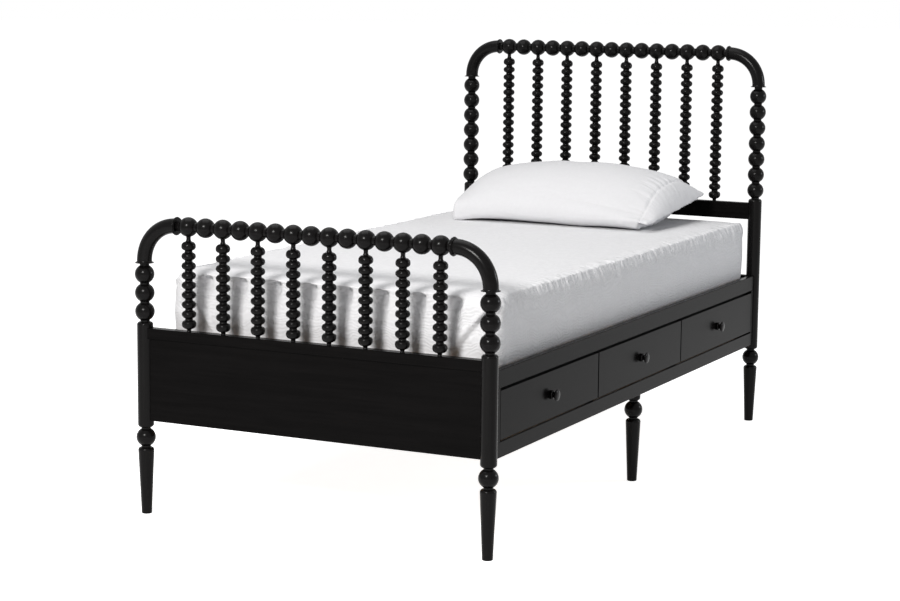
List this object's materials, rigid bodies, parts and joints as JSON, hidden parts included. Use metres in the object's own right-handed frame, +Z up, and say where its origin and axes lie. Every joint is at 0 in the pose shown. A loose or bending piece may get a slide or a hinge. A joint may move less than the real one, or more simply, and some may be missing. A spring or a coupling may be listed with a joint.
{
  "type": "platform bed",
  "caption": "Twin platform bed with bobbin-turned head and foot ends, bent elbows, side drawers on slides, slats, mattress and pillow.",
  "frame": {"origin": "on the floor, under the middle of the bed", "axes": "+Z up, +Y from the foot end to the headboard, +X to the drawer side"},
  "size_m": [1.0678, 2.0243, 1.2089],
  "materials": {
    "black_wood": "satin black paint over wood, faint grain",
    "bare_wood": "planed, unpainted",
    "steel": "zinc-plated sheet and screws",
    "mattress_fabric": "white quilted cover, matte",
    "pillow_fabric": "white pillow case with a flanged end, matte"
  },
  "bodies": {
    "frame": {"head_leg_left": "black_wood", "head_leg_right": "black_wood", "head_post_left": "black_wood", "head_post_right": "black_wood", "head_elbow_left": "black_wood", "head_elbow_right": "black_wood", "head_top_rail": "black_wood", "head_lower_rail": "black_wood", "head_panel": "black_wood", "foot_post_left": "black_wood", "foot_post_right": "black_wood", "foot_elbow_left": "black_wood", "foot_elbow_right": "black_wood", "foot_top_rail": "black_wood", "foot_cap_rail": "black_wood", "foot_panel": "black_wood", "mid_leg": "black_wood", "side_top_rail": "black_wood", "side_bottom_rail": "black_wood", "side_stiles": "black_wood", "left_side_panel": "black_wood", "drawer_partitions": "black_wood", "head_spindle_1": "black_wood", "head_spindle_2": "black_wood", "head_spindle_3": "black_wood", "head_spindle_4": "black_wood", "head_spindle_5": "black_wood", "head_spindle_6": "black_wood", "head_spindle_7": "black_wood", "head_spindle_8": "black_wood", "foot_spindle_1": "black_wood", "foot_spindle_2": "black_wood", "foot_spindle_3": "black_wood", "foot_spindle_4": "black_wood", "foot_spindle_5": "black_wood", "foot_spindle_6": "black_wood", "foot_spindle_7": "black_wood", "foot_spindle_8": "black_wood", "centre_panel": "bare_wood", "slat_ledgers": "bare_wood", "slats": "bare_wood", "mid_leg_block": "bare_wood", "corner_plates": "steel", "corner_bolts": "steel", "dowel_screws": "steel", "fixed_slides": "steel", "mattress": "mattress_fabric", "pillow": "pillow_fabric"},
    "drawer_1": {"drawer_1_front": "black_wood", "drawer_1_box": "bare_wood", "drawer_1_slides": "steel", "drawer_1_knob": "black_wood"},
    "drawer_2": {"drawer_2_front": "black_wood", "drawer_2_box": "bare_wood", "drawer_2_slides": "steel", "drawer_2_knob": "black_wood"},
    "drawer_3": {"drawer_3_front": "black_wood", "drawer_3_box": "bare_wood", "drawer_3_slides": "steel", "drawer_3_knob": "black_wood"}
  },
  "joints": [
    {"name": "drawer_1_slide", "type": "slide", "parent": "frame", "child": "drawer_1", "axis": [1, 0, 0], "range_m": [0, 0.34]},
    {"name": "drawer_2_slide", "type": "slide", "parent": "frame", "child": "drawer_2", "axis": [1, 0, 0], "range_m": [0, 0.34]},
    {"name": "drawer_3_slide", "type": "slide", "parent": "frame", "child": "drawer_3", "axis": [1, 0, 0], "range_m": [0, 0.34]}
  ]
}
